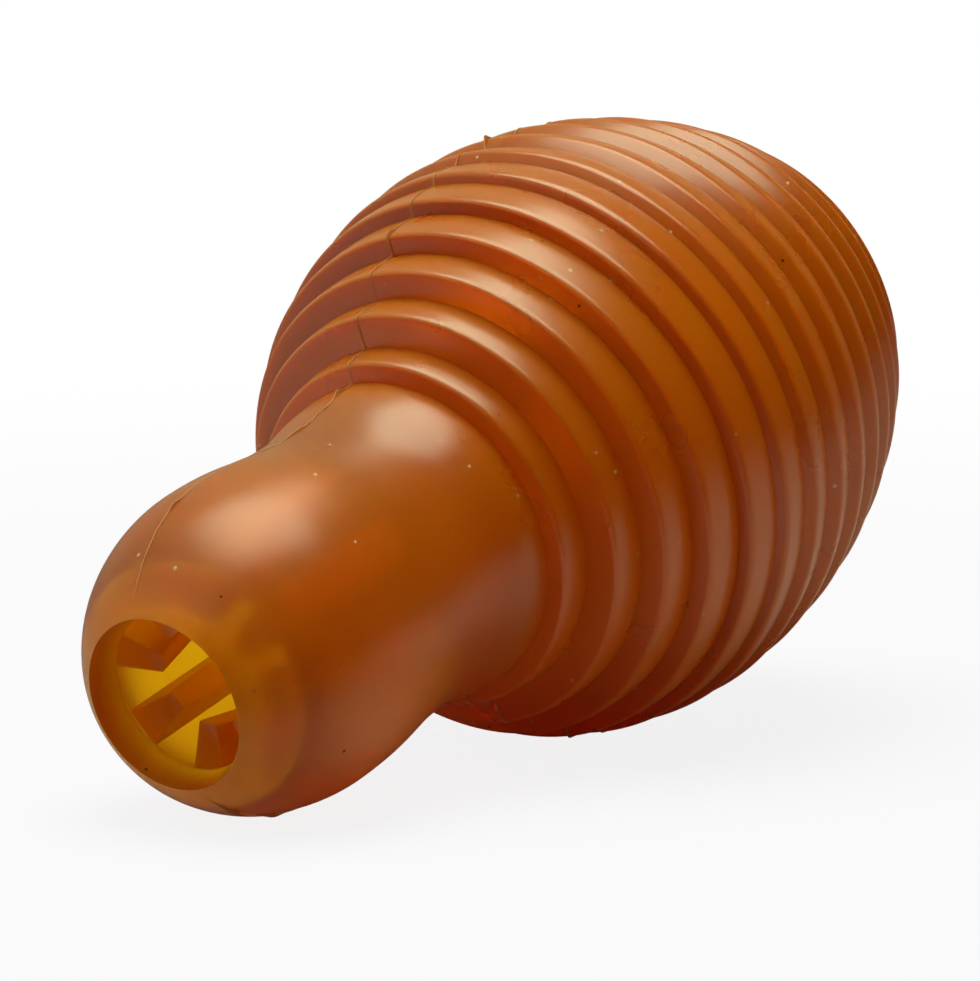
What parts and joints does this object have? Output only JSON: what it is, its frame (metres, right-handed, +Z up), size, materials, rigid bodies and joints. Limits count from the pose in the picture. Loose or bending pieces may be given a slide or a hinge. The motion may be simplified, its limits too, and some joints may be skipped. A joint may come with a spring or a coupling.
{
  "type": "dog treat toy",
  "caption": "Hollow ringed rubber toy for dogs: an egg-shaped bulb of stepped rings, a neck and a round head whose open mouth is guarded by soft fins that hold treats back.",
  "frame": {"origin": "on the surface that the toy lies on, under the middle of its box", "axes": "+X from the mouth towards the base, +Z up; the toy lies on its head and its widest rings, so its own axis rises towards the base by 15.6 degrees"},
  "size_m": [0.1256, 0.0702, 0.0713],
  "materials": {
    "amber_rubber": "satin",
    "fin_rubber": "satin"
  },
  "bodies": {
    "shell": {"right_half_shell": "amber_rubber", "left_half_shell": "amber_rubber"},
    "treat_fin_1": {"treat_fin_1": "fin_rubber"},
    "treat_fin_2": {"treat_fin_2": "fin_rubber"},
    "treat_fin_3": {"treat_fin_3": "fin_rubber"},
    "treat_fin_4": {"treat_fin_4": "fin_rubber"},
    "treat_fin_5": {"treat_fin_5": "fin_rubber"},
    "treat_fin_6": {"treat_fin_6": "fin_rubber"},
    "treat_fin_7": {"treat_fin_7": "fin_rubber"},
    "treat_fin_8": {"treat_fin_8": "fin_rubber"}
  },
  "joints": [
    {"name": "treat_fin_1_bend", "type": "hinge", "parent": "shell", "child": "treat_fin_1", "pos_m": [-0.04559, -0.00206, 0.03104], "axis": [0.963, 0, 0.2694], "range_deg": [-10, 10], "stiffness_Nm_per_rad": 0.008},
    {"name": "treat_fin_2_bend", "type": "hinge", "parent": "shell", "child": "treat_fin_2", "pos_m": [-0.04422, -0.01018, 0.02616], "axis": [0.963, 0, 0.2694], "range_deg": [-10, 10], "stiffness_Nm_per_rad": 0.008},
    {"name": "treat_fin_3_bend", "type": "hinge", "parent": "shell", "child": "treat_fin_3", "pos_m": [-0.04171, -0.01233, 0.01718], "axis": [0.963, 0, 0.2694], "range_deg": [-10, 10], "stiffness_Nm_per_rad": 0.008},
    {"name": "treat_fin_4_bend", "type": "hinge", "parent": "shell", "child": "treat_fin_4", "pos_m": [-0.03952, -0.00726, 0.00937], "axis": [0.963, 0, 0.2694], "range_deg": [-10, 10], "stiffness_Nm_per_rad": 0.008},
    {"name": "treat_fin_5_bend", "type": "hinge", "parent": "shell", "child": "treat_fin_5", "pos_m": [-0.03894, 0.00206, 0.0073], "axis": [0.963, 0, 0.2694], "range_deg": [-10, 10], "stiffness_Nm_per_rad": 0.008},
    {"name": "treat_fin_6_bend", "type": "hinge", "parent": "shell", "child": "treat_fin_6", "pos_m": [-0.04031, 0.01018, 0.01218], "axis": [0.963, 0, 0.2694], "range_deg": [-10, 10], "stiffness_Nm_per_rad": 0.008},
    {"name": "treat_fin_7_bend", "type": "hinge", "parent": "shell", "child": "treat_fin_7", "pos_m": [-0.04282, 0.01233, 0.02116], "axis": [0.963, 0, 0.2694], "range_deg": [-10, 10], "stiffness_Nm_per_rad": 0.008},
    {"name": "treat_fin_8_bend", "type": "hinge", "parent": "shell", "child": "treat_fin_8", "pos_m": [-0.04501, 0.00726, 0.02897], "axis": [0.963, 0, 0.2694], "range_deg": [-10, 10], "stiffness_Nm_per_rad": 0.008}
  ]
}
